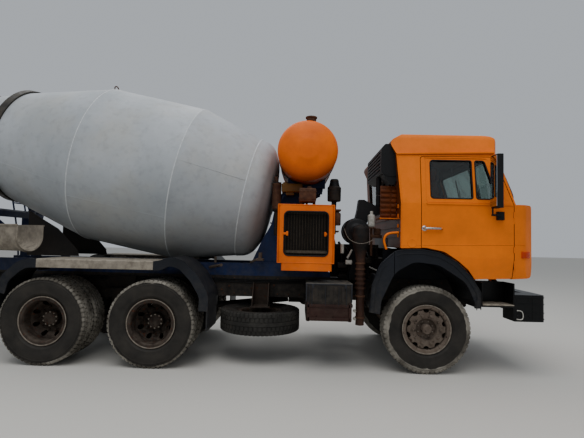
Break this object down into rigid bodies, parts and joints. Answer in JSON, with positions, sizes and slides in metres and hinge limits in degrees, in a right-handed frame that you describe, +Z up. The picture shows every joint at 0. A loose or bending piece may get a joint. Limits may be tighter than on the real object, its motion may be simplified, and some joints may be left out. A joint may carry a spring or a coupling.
{
  "type": "concrete mixer truck",
  "caption": "Concrete mixer truck with tilting cab, steered front axle, twin-wheel bogie, spinning mixing drum, water tank, own mixer engine, hopper and slewing discharge chute.",
  "frame": {"origin": "middle of the vehicle on the ground, under the centre of its overall box", "axes": "+X forward, +Y to the driver's left, +Z up"},
  "size_m": [8.327, 3.03, 3.8359],
  "materials": {
    "cab_paint": "faded orange paint",
    "drum_paint": "dusty light grey paint",
    "frame_blue": "worn dark blue paint",
    "chassis_black": "worn black paint",
    "cast": "oily cast iron",
    "dusty_steel": "paint under cement dust",
    "rusty_steel": "rusty steel",
    "bare_steel": "worn steel",
    "tyre": "dusty rubber",
    "plastic": "sun-dulled black plastic",
    "glass": "clear window glass",
    "lamp": "clear lens",
    "amber_lamp": "orange-red lens"
  },
  "bodies": {
    "chassis": {"frame": "chassis_black", "subframe": "frame_blue", "front_axle": "cast", "rear_axles": "cast", "leaf_springs": "cast", "power_unit": "cast", "chassis_tanks": "chassis_black", "battery_box": "bare_steel", "spare_tyre": "tyre", "spare_carrier": "rusty_steel", "arches_rear": "plastic", "fender_decks": "dusty_steel", "fender_ends": "plastic", "bumper": "chassis_black", "lamps": "lamp", "air_cleaner": "chassis_black", "exhaust": "rusty_steel", "mixer_hood": "cab_paint", "mixer_engine": "cast", "water_tank": "cab_paint", "front_stand": "frame_blue", "drum_gearbox": "frame_blue", "rear_stand": "frame_blue", "hopper": "dusty_steel", "spout": "dusty_steel"},
    "cab": {"cab_shell": "cab_paint", "cab_glass": "glass", "cab_interior": "plastic", "cab_arches": "plastic", "cab_lamps": "amber_lamp", "intake_box": "plastic"},
    "lid": {"front_lid": "cab_paint"},
    "door_l": {"door_left": "cab_paint", "door_glass_left": "glass", "mirror_left": "plastic"},
    "door_r": {"door_right": "cab_paint", "door_glass_right": "glass", "mirror_right": "plastic"},
    "drum": {"drum_shell": "drum_paint", "drum_ring": "bare_steel", "drum_blades": "bare_steel"},
    "roller_l": {"roller_left": "bare_steel"},
    "roller_r": {"roller_right": "bare_steel"},
    "chute_arm": {"chute": "dusty_steel"},
    "steer_l": {"knuckle_left": "cast"},
    "steer_r": {"knuckle_right": "cast"},
    "rod": {"track_rod": "cast"},
    "wheel_front_l": {"tyre_front_left": "tyre", "rim_front_left": "dusty_steel"},
    "wheel_front_r": {"tyre_front_right": "tyre", "rim_front_right": "dusty_steel"},
    "wheel_middle_l": {"tyres_middle_left": "tyre", "rims_middle_left": "rusty_steel"},
    "wheel_middle_r": {"tyres_middle_right": "tyre", "rims_middle_right": "rusty_steel"},
    "wheel_rear_l": {"tyres_rear_left": "tyre", "rims_rear_left": "rusty_steel"},
    "wheel_rear_r": {"tyres_rear_right": "tyre", "rims_rear_right": "rusty_steel"}
  },
  "joints": [
    {"name": "steering_left", "type": "hinge", "parent": "chassis", "child": "steer_l", "pos_m": [2.7085, 0.843, 0.53], "axis": [0, 0, 1], "range_deg": [-38, 38]},
    {"name": "steering_right", "type": "hinge", "parent": "chassis", "child": "steer_r", "pos_m": [2.7085, -0.843, 0.53], "axis": [0, 0, 1], "range_deg": [-38, 38]},
    {"name": "rod_end", "type": "hinge", "parent": "steer_l", "child": "rod", "pos_m": [2.5585, 0.843, 0.392], "axis": [0, 0, 1], "range_deg": [-38, 38]},
    {"name": "spin_front_left", "type": "hinge", "parent": "steer_l", "child": "wheel_front_l", "pos_m": [2.7085, 1.013, 0.53], "axis": [0, 1, 0], "continuous": true},
    {"name": "spin_front_right", "type": "hinge", "parent": "steer_r", "child": "wheel_front_r", "pos_m": [2.7085, -1.013, 0.53], "axis": [0, 1, 0], "continuous": true},
    {"name": "spin_middle_left", "type": "hinge", "parent": "chassis", "child": "wheel_middle_l", "pos_m": [-0.6315, 0.928, 0.53], "axis": [0, 1, 0], "continuous": true},
    {"name": "spin_middle_right", "type": "hinge", "parent": "chassis", "child": "wheel_middle_r", "pos_m": [-0.6315, -0.928, 0.53], "axis": [0, 1, 0], "continuous": true},
    {"name": "spin_rear_left", "type": "hinge", "parent": "chassis", "child": "wheel_rear_l", "pos_m": [-1.9515, 0.928, 0.53], "axis": [0, 1, 0], "continuous": true},
    {"name": "spin_rear_right", "type": "hinge", "parent": "chassis", "child": "wheel_rear_r", "pos_m": [-1.9515, -0.928, 0.53], "axis": [0, 1, 0], "continuous": true},
    {"name": "cab_tilt", "type": "hinge", "parent": "chassis", "child": "cab", "pos_m": [3.8585, 0, 1.075], "axis": [0, 1, 0], "range_deg": [0, 42]},
    {"name": "lid_hinge", "type": "hinge", "parent": "cab", "child": "lid", "pos_m": [3.9775, 0, 2], "axis": [0, -1, 0], "range_deg": [0, 70]},
    {"name": "door_left_hinge", "type": "hinge", "parent": "cab", "child": "door_l", "pos_m": [3.6985, 1.25, 1.9], "axis": [0, 0, -1], "range_deg": [0, 70]},
    {"name": "door_right_hinge", "type": "hinge", "parent": "cab", "child": "door_r", "pos_m": [3.6985, -1.25, 1.9], "axis": [0, 0, 1], "range_deg": [0, 70]},
    {"name": "drum_spin", "type": "hinge", "parent": "chassis", "child": "drum", "pos_m": [-0.4575, 0, 2.37], "axis": [-0.9794, 0, 0.2018], "continuous": true},
    {"name": "roller_left_spin", "type": "hinge", "parent": "chassis", "child": "roller_l", "pos_m": [-3.13743, 0.57209, 2.11811], "axis": [-0.9794, 0, 0.2018], "continuous": true},
    {"name": "roller_right_spin", "type": "hinge", "parent": "chassis", "child": "roller_r", "pos_m": [-3.13743, -0.57209, 2.11811], "axis": [-0.9794, 0, 0.2018], "continuous": true},
    {"name": "chute_swing", "type": "hinge", "parent": "chassis", "child": "chute_arm", "pos_m": [-3.8515, -0.47, 1.2], "axis": [0.2924, 0, -0.9563], "range_deg": [0, 162]}
  ],
  "couplings": [
    {"joint": "steering_right", "follows": "steering_left", "ratio": 1},
    {"joint": "rod_end", "follows": "steering_left", "ratio": -1},
    {"joint": "roller_left_spin", "follows": "drum_spin", "ratio": -6.4846},
    {"joint": "roller_right_spin", "follows": "drum_spin", "ratio": -6.4846}
  ]
}
